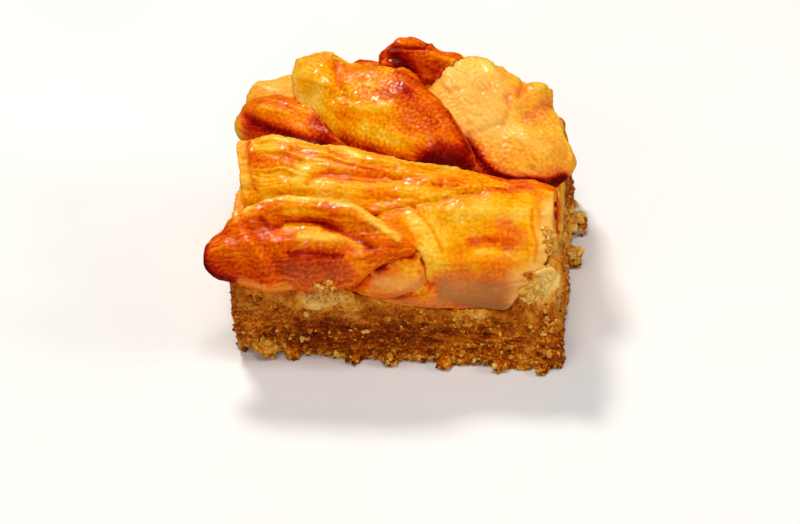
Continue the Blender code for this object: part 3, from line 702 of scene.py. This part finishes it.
def slice_relief(local, upper, look, seed):
    """How far the lobes, wrinkles and grain raise each point, most of all on the upper side."""
    bend = 0.8 * soft_noise(local, 7.0, seed + 2)[:, None]
    wrinkles = creases(local, bend, 0.16, WRINKLE_LENGTH, seed + 3)
    crinkles = creases(local, bend, 0.35, CRINKLE_LENGTH, seed + 4)
    wrinkled = ramp(soft_noise(local, 9.0, seed + 5), -0.5, 0.4)
    pebbly = ramp(soft_noise(local, 8.0, seed + 6), -0.3, 0.4)
    shifted = local + 0.3 * soft_noise(local, 1.6, seed + 8)[:, None]
    grain, _ = scattered_cells(shifted, PEBBLE_LENGTH, seed + 7)
    height = LOBE_HEIGHT * rough_noise(local, LOBE_LENGTH, 2, seed)
    height += look.wrinkle * wrinkles * faded(upper, 0.25) * faded(wrinkled, 0.4)
    height += look.crinkle * crinkles * faded(upper, 0.3) * faded(1 - pebbly, 0.4)
    height += look.pebble * (0.6 - grain) * 2 * faded(upper, 0.3) * faded(pebbly, 0.35)
    return height


def make_slice(node, look, material):
    skin = Skin(node, look.cell, SLICE_SMOOTHING)
    seed = sum(ord(letter) for letter in node)
    middle, along, across, through = own_axes(skin.points)
    local = np.stack([(skin.points - middle) @ axis for axis in (along, across, through)], axis=1)
    side = local[:, 1] / np.abs(local[:, 1]).max()
    upper = ramp(skin.normals @ through, -0.3, 0.5)
    bake = np.full(len(local), look.bake)
    cream = np.full(len(local), look.cream)
    height = np.full(len(local), SLICE_SWELL)
    for stroke in look.strokes:
        weight = stroke_weight(skin, stroke)
        height += weight * stroke.height
        bake += weight * stroke.bake
        cream += weight * stroke.cream
    skin.raise_by(height + slice_relief(local, upper, look, seed))
    bake += look.blotch * rough_noise(local, BLOTCH_LENGTH, 3, seed + 11)
    bake += look.edge_bake * ramp(np.abs(side), 0.72, 1.0)
    # painted shade in the hollows and painted highlight on the ridges
    bake += HOLLOW_SHADE * skin.relief(HOLLOW_STEPS)
    # painted shade under the solids that lie on the slice
    painted_shade = shade_under_others(skin)
    bake += SHADE_UNDER_BAKE * painted_shade
    cream += SHADE_UNDER_CREAM * painted_shade
    skin.set_mask("bake", bake)
    skin.set_mask("cream", np.clip(cream, 0, 1))
    skin.finish(material)
    return skin


def turn_of(points):
    """The direction of each point from the middle of the tart, from 0 to 1 round it."""
    return np.arctan2(points[:, 1], points[:, 0]) / (2 * math.pi) + 0.5


class JointLine:
    """The wavy line round the sides where the base meets the custard."""

    def __init__(self, crust):
        upright = np.abs(crust.normals[:, 2]) < 0.5
        turns = turn_of(crust.points[upright])
        heights = crust.points[upright, 2]
        self.count = 360
        step = (turns * self.count).astype(int) % self.count
        self.heights = np.zeros(self.count)
        np.maximum.at(self.heights, step, heights)

    def above(self, points):
        """How far each point is above the line, in millimetres."""
        place = turn_of(points) * self.count - 0.5
        return points[:, 2] - np.interp(place, np.arange(self.count), self.heights, period=self.count)


def stroked(skin, strokes):
    """How much the strokes raise the surface, and the paleness that they add less the darkness."""
    height, paleness = np.zeros((2, len(skin.points)))
    for stroke in strokes:
        weight = stroke_weight(skin, stroke)
        height += weight * stroke.height
        paleness += weight * (stroke.cream - stroke.bake)
    return height, paleness


def spread(part, values, rest=0.0):
    """The values at the points of a part, and the rest elsewhere."""
    full = np.full(len(part), rest)
    full[part] = values
    return full


def crumb_at(points):
    """The relief of cut crumb, and how light each bit of it is."""
    bent = points + 0.4 * soft_noise(points, 1.4, 3)[:, None]
    coarse_gap, coarse = scattered_cells(bent, 2.1, 1)
    fine_gap, fine = scattered_cells(bent, 0.95, 2)
    layers = rough_noise(points * np.array((0.4, 0.4, 1.3)), 1.8, 2, 14)
    height = 0.4 * (0.55 - coarse_gap) + 0.35 * (0.5 - fine_gap) + 0.3 * layers
    height += 0.3 * rough_noise(points, 5.0, 2, 8)
    tone = 0.33 + 0.18 * (fine - 0.5) + 0.18 * (coarse - 0.5) + 0.2 * layers
    tone += 0.12 * rough_noise(points, 12.0, 2, 20)
    return height, tone


def curd_at(points):
    """The relief of cut custard, and how light each bit of it is."""
    streaks = rough_noise(points * np.array((1.0, 1.0, 0.4)), 1.7, 2, 42)
    gap, number = scattered_cells(points + 0.4 * soft_noise(points, 1.8, 47)[:, None], 1.8, 44)
    pores = ramp(rough_noise(points, 1.8, 2, 48), 0.5, 0.8)
    height = 0.35 * rough_noise(points, 5.0, 2, 41) + 0.28 * streaks + 0.45 * (0.5 - gap) - 0.6 * pores
    tone = 0.34 + 0.24 * rough_noise(points, 6.0, 3, 45) + 0.14 * streaks + 0.2 * (number - 0.5)
    # the pores are also painted darker, as shade in them
    return height, tone - 0.2 * pores


def paint_side(skin, joint, crumb, curd, paint):
    """Sets the masks of a side: crumb where it is base, custard above the joint, blurred between."""
    points = skin.points
    blur = 2.0 * rough_noise(points, 3.6, 3, 61) + 0.8 * rough_noise(points, 1.0, 2, 62)
    relief = skin.relief(SIDE_HOLLOW_STEPS)
    skin.set_mask("curd_share", ramp(joint.above(points) + blur, -2.0, 2.6))
    # darker in the hollows and paler on the ridges: painted shade and painted highlight
    skin.set_mask("tone", np.clip(crumb + paint - 0.14 * relief, 0, 1))
    skin.set_mask("curd", np.clip(curd + paint - 0.12 * relief, 0, 1))


def make_crust(material):
    skin = Skin("crust", CRUST_CELL, CRUST_SMOOTHING)
    joint = JointLine(skin)
    flatness = np.abs(skin.normals[:, 2])
    side = flatness < 0.98
    places = skin.points[side]
    relief, crumb = crumb_at(places)
    _, curd = curd_at(places)
    holes = ramp(rough_noise(places, 2.4, 3, 12), 0.5, 0.8)
    raised, paint = stroked(skin, SIDE_STROKES)
    height = (relief - 0.7 * holes) * (1 - ramp(flatness[side], 0.75, 0.98))
    skin.raise_by(spread(side, height) + raised)
    # the holes are also painted darker, as shade in them
    paint_side(skin, joint, spread(side, crumb - 0.15 * holes, 0.4), spread(side, curd, 0.4), paint)
    skin.thin_out(flatness > FLAT)
    skin.finish(material)
    return skin, joint


def make_custard(material, joint):
    skin = Skin("custard", CUSTARD_CELL, CUSTARD_SMOOTHING)
    flatness = np.abs(skin.normals[:, 2])
    down = ramp(skin.normals[:, 2], -0.3, -0.8)
    near_joint = ramp(joint.above(skin.points), 3.0, 0.5)
    curd_height, curd = curd_at(skin.points)
    crumb_height, crumb = crumb_at(skin.points)
    raised, paint = stroked(skin, SIDE_STROKES)
    height = curd_height * (1 - near_joint) + crumb_height * near_joint + raised
    skin.raise_by(height * (1 - down) + JOINT_OVERLAP * down)
    # painted shade under the slices that lie on the custard
    curd -= 0.15 * shade_under_others(skin)
    paint_side(skin, joint, crumb, curd, paint)
    skin.thin_out(flatness > FLAT)
    skin.finish(material)
    return skin


class Crumbs(NamedTuple):
    """Where some crumbs sit, how large and light they are, and how much of each is custard."""

    seats: np.ndarray
    sizes: np.ndarray
    tones: np.ndarray
    curds: np.ndarray


def small_crumbs(crust):
    """Crumbs and pale grains on the sides of the base, more of them near its foot."""
    draws = np.random.default_rng(5)
    upright = np.abs(crust.normals[:, 2]) < 0.75
    heights = crust.points[:, 2]
    chance = upright * (1.25 - heights / 14 + 1.5 * (heights < FOOT_TOP))
    picked = draws.choice(len(chance), CRUMB_COUNT, replace=False, p=chance / chance.sum())
    sizes = np.clip(draws.lognormal(-1.3, 0.5, CRUMB_COUNT), 0.14, 0.7)
    sizes = np.where(heights[picked] < FOOT_TOP, sizes + 0.25, sizes)
    seats = crust.points[picked] - crust.normals[picked] * (0.35 * sizes)[:, None]
    tones = np.clip(draws.normal(0.55, 0.2, CRUMB_COUNT), 0.1, 1.0)
    tones = np.where(draws.random(CRUMB_COUNT) < 0.05, 0.82, tones)
    return Crumbs(seats, sizes, tones, np.zeros(CRUMB_COUNT))


def foot_crumbs(crust):
    """Larger crumbs that stick out round the foot of the base."""
    draws = np.random.default_rng(14)
    points, normals = crust.points, crust.normals
    chance = (np.abs(normals[:, 2]) < 0.8) & (points[:, 2] > 0.6) & (points[:, 2] < 2.0)
    picked = draws.choice(np.flatnonzero(chance), FOOT_CRUMB_COUNT, replace=False)
    sizes = np.clip(draws.lognormal(-0.75, 0.35, FOOT_CRUMB_COUNT), 0.3, 1.1)
    seats = points[picked] - normals[picked] * 0.1
    seats[:, 2] = sizes * draws.uniform(0.7, 2.0, FOOT_CRUMB_COUNT)
    tones = np.clip(draws.normal(0.43, 0.16, FOOT_CRUMB_COUNT), 0.1, 0.85)
    return Crumbs(seats, sizes, tones, np.zeros(FOOT_CRUMB_COUNT))


def joint_curds(custard, joint):
    """Crumbs of custard along the line where it meets the base."""
    draws = np.random.default_rng(8)
    above = joint.above(custard.points)
    chance = ((np.abs(custard.normals[:, 2]) < 0.8) & (above > -0.5)) * np.exp(-np.abs(above - 0.4) / 1.2)
    picked = draws.choice(len(chance), CURD_COUNT, replace=False, p=chance / chance.sum())
    sizes = np.clip(draws.lognormal(-0.7, 0.4, CURD_COUNT), 0.25, 1.0)
    seats = custard.points[picked] - custard.normals[picked] * (0.45 * sizes)[:, None]
    tones = np.clip(draws.normal(0.5, 0.18, CURD_COUNT), 0.1, 1.0)
    return Crumbs(seats, sizes, tones, draws.random(CURD_COUNT))


def seen_inside(skins, cluster):
    """The points nearest the camera inside the cluster's ellipse."""
    points = np.concatenate([skin.points for skin in skins])
    pixels = np.concatenate([skin.pixels for skin in skins])
    away = (pixels - cluster.middle) / cluster.radii
    inside = (away ** 2).sum(axis=1) < 1
    points, squares = points[inside], (pixels[inside] / SEEN_SQUARE).astype(int)
    nearness = points @ camera_axes()[2]
    nearest = {}
    for square, near in zip(map(tuple, squares), nearness):
        nearest[square] = max(near, nearest.get(square, -1e9))
    best = np.array([nearest[square] for square in map(tuple, squares)])
    return points[nearness > best - SEEN_DEPTH]


def cluster_crumbs(skins, clusters, seed):
    """The crumbs of some clusters, a little sunk into what they sit on."""
    draws = np.random.default_rng(seed)
    groups = []
    for cluster in clusters:
        places = seen_inside(skins, cluster)
        sizes = draws.uniform(*cluster.sizes, cluster.count)
        picked = draws.integers(len(places), size=cluster.count)
        seats = places[picked] - 0.2 * sizes[:, None] * camera_axes()[2]
        tones = np.clip(draws.normal(cluster.tone, 0.1, cluster.count), 0, 1)
        groups.append(Crumbs(seats, sizes, tones, np.full(cluster.count, cluster.curd)))
    return groups


def crumb_shape(draws, radius, roughness):
    """The points and faces of one rough crumb about its own middle, and its bumps."""
    ball = bmesh.new()
    bmesh.ops.create_icosphere(ball, subdivisions=1 if radius < 0.3 else 2, radius=radius)
    corners = np.array([corner.co for corner in ball.verts])
    faces = [[corner.index for corner in face.verts] for face in ball.faces]
    ball.free()
    bumps = rough_noise(corners + draws.uniform(-99, 99, 3), 0.9 * radius, 2)
    corners *= np.clip(1 + roughness * bumps, 0.3, 1.9)[:, None]
    corners *= draws.uniform(0.5, 1.3, 3)
    return corners, np.array(faces), bumps


def scatter(name, material, groups, seed):
    """One piece of many crumbs, each turned at random about its seat."""
    draws = np.random.default_rng(seed)
    points, faces, tones, curds = [], [], [], []
    total = 0
    for group in groups:
        for seat, size, light, curd in zip(*group):
            corners, sides, bumps = crumb_shape(draws, size, 0.7 - 0.3 * curd)
            turn = np.linalg.qr(draws.normal(size=(3, 3)))[0]
            points.append(corners @ turn + seat)
            faces.append(sides + total)
            tones.append(light + 0.3 * bumps)
            curds.append(np.full(len(corners), curd))
            total += len(corners)
    places = np.clip(np.concatenate(points), *solid_corners)
    mesh = bpy.data.meshes.new(name)
    mesh.from_pydata((places * MM).tolist(), [], np.concatenate(faces).tolist())
    for mask, values in (("tone", tones), ("curd", tones), ("curd_share", curds)):
        full = np.clip(np.concatenate(values), 0, 1).astype(np.float32)
        mesh.attributes.new(mask, "FLOAT", "POINT").data.foreach_set("value", full)
    mesh.shade_smooth()
    mesh.materials.append(material)
    piece = place_in_scene(name, mesh)
    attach(piece, "root")


def linear_colour(photo_rgb):
    channels = []
    for value in photo_rgb:
        share = value / 255
        channels.append(share / 12.92 if share <= 0.04045 else ((share + 0.055) / 1.055) ** 2.4)
    return (*channels, 1.0)


class Shader:
    """A Principled material and short ways to add nodes to it."""

    def __init__(self, name):
        self.material = bpy.data.materials.new(name)
        self.material.use_nodes = True
        self.tree = self.material.node_tree
        self.surface = self.tree.nodes["Principled BSDF"]
        self.place = self.add("TexCoord").outputs["Object"]

    def add(self, kind, **settings):
        node = self.tree.nodes.new("ShaderNode" + kind)
        for name, value in settings.items():
            setattr(node, name, value)
        return node

    def join(self, output, target):
        self.tree.links.new(output, target)

    def fill(self, node, **values):
        for name, value in values.items():
            node.inputs[name.replace("_", " ")].default_value = value

    def mask(self, name):
        return self.add("Attribute", attribute_name=name).outputs["Fac"]

    def noise(self, length, detail=3.0, roughness=0.55):
        """Noise with bumps of a length in millimetres."""
        node = self.add("TexNoise")
        self.fill(node, Scale=1 / (length * MM), Detail=detail, Roughness=roughness)
        self.join(self.place, node.inputs["Vector"])
        return node.outputs["Fac"]

    def scaled(self, source, from_low, from_high, to_low, to_high):
        node = self.add("MapRange")
        self.fill(node, From_Min=from_low, From_Max=from_high, To_Min=to_low, To_Max=to_high)
        self.join(source, node.inputs["Value"])
        return node.outputs["Result"]

    def math(self, operation, first, second):
        node = self.add("Math", operation=operation)
        for source, target in zip((first, second), node.inputs):
            if isinstance(source, (int, float)):
                target.default_value = source
            else:
                self.join(source, target)
        return node.outputs["Value"]

    def colours(self, source, stops):
        """A colour for each value of the source, from (value, photo colour) stops."""
        node = self.add("ValToRGB")
        elements = node.color_ramp.elements
        while len(elements) < len(stops):
            elements.new(0.5)
        for element, (place, colour) in zip(elements, stops):
            element.position = place
            element.color = linear_colour(colour)
        self.join(source, node.inputs["Fac"])
        return node.outputs["Color"]

    def mixed(self, share, first, second):
        node = self.add("Mix", data_type="RGBA")
        self.join(share, node.inputs["Factor"])
        for source, target in ((first, node.inputs["A"]), (second, node.inputs["B"])):
            if isinstance(source, tuple):
                target.default_value = source
            else:
                self.join(source, target)
        return node.outputs["Result"]

    def set_roughness(self, length, low, high):
        """Roughness from low to high, in patches of a length in millimetres."""
        self.join(self.scaled(self.noise(length), 0.3, 0.7, low, high), self.surface.inputs["Roughness"])

    def bump(self, source, height, target="Normal"):
        node = self.add("Bump")
        self.fill(node, Distance=height * MM)
        self.join(source, node.inputs["Height"])
        self.join(node.outputs["Normal"], self.surface.inputs[target])


def apple_material():
    shader = Shader("glazed_apple")
    speckle = shader.scaled(shader.noise(0.9, 4.0), 0.3, 0.7, -0.35, 0.35)
    # the browning, with the painted shade and painted highlights of the slices added in
    bake = shader.math("ADD", shader.mask("bake"), speckle)
    flesh = shader.colours(shader.math("MULTIPLY", bake, 0.25), (
        (0.0, (255, 216, 90)),
        (0.25, (252, 170, 0)),
        (0.5, (236, 100, 0)),
        (0.75, (180, 24, 0)),
        (1.0, (104, 0, 0)),
    ))
    colour = shader.mixed(shader.mask("cream"), flesh, linear_colour((248, 192, 100)))
    shader.join(colour, shader.surface.inputs["Base Color"])
    shader.set_roughness(1.6, 0.26, 0.5)
    shader.bump(shader.noise(0.9, 3.0), 0.14)
    shader.bump(shader.noise(0.85, 1.0, 0.4), 0.11, "Coat Normal")
    wet = shader.math(
        "MULTIPLY",
        shader.scaled(shader.mask("cream"), 0.0, 0.8, 0.45, 0.2),
        shader.scaled(shader.noise(5.0, 2.0), 0.4, 0.62, 0.12, 1.0),
    )
    shader.join(wet, shader.surface.inputs["Coat Weight"])
    shader.fill(
        shader.surface, Subsurface_Weight=0.35, Subsurface_Radius=(1.0, 0.4, 0.1), Subsurface_Scale=0.0016,
        IOR=1.22, Specular_Tint=(1.0, 0.8, 0.4, 1.0),
        Coat_Roughness=0.07, Coat_IOR=1.45,
    )
    return shader.material


def side_material():
    """Golden crumb and pale custard, mixed by the masks."""
    shader = Shader("crumb_and_custard")
    speckle = shader.scaled(shader.noise(0.5, 4.0, 0.7), 0.3, 0.7, -0.2, 0.2)
    crumb = shader.colours(shader.math("ADD", shader.mask("tone"), speckle), (
        (0.0, (86, 20, 0)),
        (0.25, (142, 50, 0)),
        (0.5, (200, 96, 0)),
        (0.75, (242, 160, 34)),
        (1.0, (255, 214, 112)),
    ))
    curd = shader.colours(shader.math("ADD", shader.mask("curd"), speckle), (
        (0.0, (130, 48, 0)),
        (0.3, (188, 94, 0)),
        (0.6, (234, 150, 36)),
        (1.0, (255, 208, 112)),
    ))
    shader.join(shader.mixed(shader.mask("curd_share"), crumb, curd), shader.surface.inputs["Base Color"])
    shader.set_roughness(1.0, 0.3, 0.6)
    shader.bump(shader.noise(0.4, 4.0, 0.7), 0.25)
    shader.bump(shader.noise(1.0, 1.0, 0.4), 0.2, "Coat Normal")
    shader.fill(
        shader.surface, Subsurface_Weight=0.15, Subsurface_Radius=(1.0, 0.5, 0.2), Subsurface_Scale=0.001,
        IOR=1.28, Specular_Tint=(1.0, 0.8, 0.4, 1.0),
        Coat_Weight=0.4, Coat_Roughness=0.1, Coat_IOR=1.45,
    )
    return shader.material


def floor_material():
    shader = Shader("pale_floor")
    tone = shader.scaled(shader.noise(90.0, 2.0), 0.3, 0.7, 0.0, 1.0)
    colour = shader.colours(tone, ((0.0, (240, 239, 237)), (1.0, (246, 245, 243))))
    shader.join(colour, shader.surface.inputs["Base Color"])
    shader.fill(shader.surface, Roughness=0.7)
    return shader.material


def make_floor():
    floor = bpy.data.meshes.new("floor")
    corners = [
        (FLOOR_HALF_WIDTH * x, FLOOR_HALF_WIDTH * y, 0) for x, y in ((-1, -1), (1, -1), (1, 1), (-1, 1))
    ]
    floor.from_pydata(corners, [], [(0, 1, 2, 3)])
    floor.materials.append(floor_material())
    piece = place_in_scene("floor", floor)
    piece.visible_glossy = False


def make_camera():
    data = bpy.data.cameras.new("camera")
    data.sensor_width = SENSOR_WIDTH
    data.lens = SENSOR_WIDTH * FOCAL_PIXELS / PHOTO_SIZE[0]
    data.clip_start = 0.05
    data.clip_end = 20.0
    camera = place_in_scene("camera", data)
    right, up, back = camera_axes()
    turn = Matrix((right, up, back)).transposed().to_4x4()
    camera.matrix_world = Matrix.Translation(camera_place() * MM) @ turn
    bpy.context.scene.camera = camera


def add_light(name, place, size, power, colour=(1.0, 1.0, 1.0), glints=False):
    """A soft square light that shines on the middle of the tart, and maybe in its glaze too."""
    data = bpy.data.lights.new(name, "AREA")
    data.size = size
    data.energy = power
    data.color = colour
    light = place_in_scene(name, data)
    light.visible_glossy = glints
    light.location = place
    light.rotation_euler = (Vector((0, 0, 0.02)) - Vector(place)).to_track_quat("-Z", "Y").to_euler()


def make_lights():
    add_light("window", (-0.35, 0.7, 0.95), 0.22, 9.0, (1.0, 0.97, 0.9), glints=True)
    add_light("sparkle", (0.1, -0.1, 1.2), 0.1, 0.7, glints=True)
    add_light("overhead", (0.0, -0.25, 1.2), 0.5, 4.8)
    add_light("right", (0.9, -0.15, 0.55), 0.3, 2.7)
    add_light("fill", (-0.2, -1.0, 0.5), 0.8, 2.9, (1.0, 0.98, 0.95))
    add_light("front_sparkle", (0.15, -0.95, 0.6), 0.1, 0.6, (1.0, 0.96, 0.88), glints=True)
    world = bpy.data.worlds.new("studio")
    world.use_nodes = True
    background = world.node_tree.nodes["Background"]
    background.inputs["Color"].default_value = (1.0, 0.99, 0.97, 1.0)
    background.inputs["Strength"].default_value = 0.12
    world.cycles_visibility.glossy = False
    bpy.context.scene.world = world
    bpy.context.scene.view_settings.view_transform = "Standard"


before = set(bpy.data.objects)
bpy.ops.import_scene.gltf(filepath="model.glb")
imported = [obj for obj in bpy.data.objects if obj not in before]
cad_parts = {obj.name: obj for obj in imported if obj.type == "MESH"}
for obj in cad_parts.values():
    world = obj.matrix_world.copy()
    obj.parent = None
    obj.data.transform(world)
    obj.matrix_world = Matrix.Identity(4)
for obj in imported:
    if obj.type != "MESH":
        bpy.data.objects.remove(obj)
solid_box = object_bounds()
solid_corners = np.array([tuple(corner) for corner in solid_box]) / MM

glazed_apple = apple_material()
skins = [make_slice(node, look, glazed_apple) for node, look in SLICES.items()]
tart_side = side_material()
crust, joint = make_crust(tart_side)
custard = make_custard(tart_side, joint)
skins += [crust, custard]
crumbs = [small_crumbs(crust), foot_crumbs(crust)] + cluster_crumbs(skins, CRUMB_CLUSTERS, 21)
curds = [joint_curds(custard, joint)] + cluster_crumbs(skins, CURD_CLUSTERS, 22)
scatter("crumbs", tart_side, crumbs, 6)
scatter("curds", tart_side, curds, 9)
make_floor()
make_lights()
make_camera()
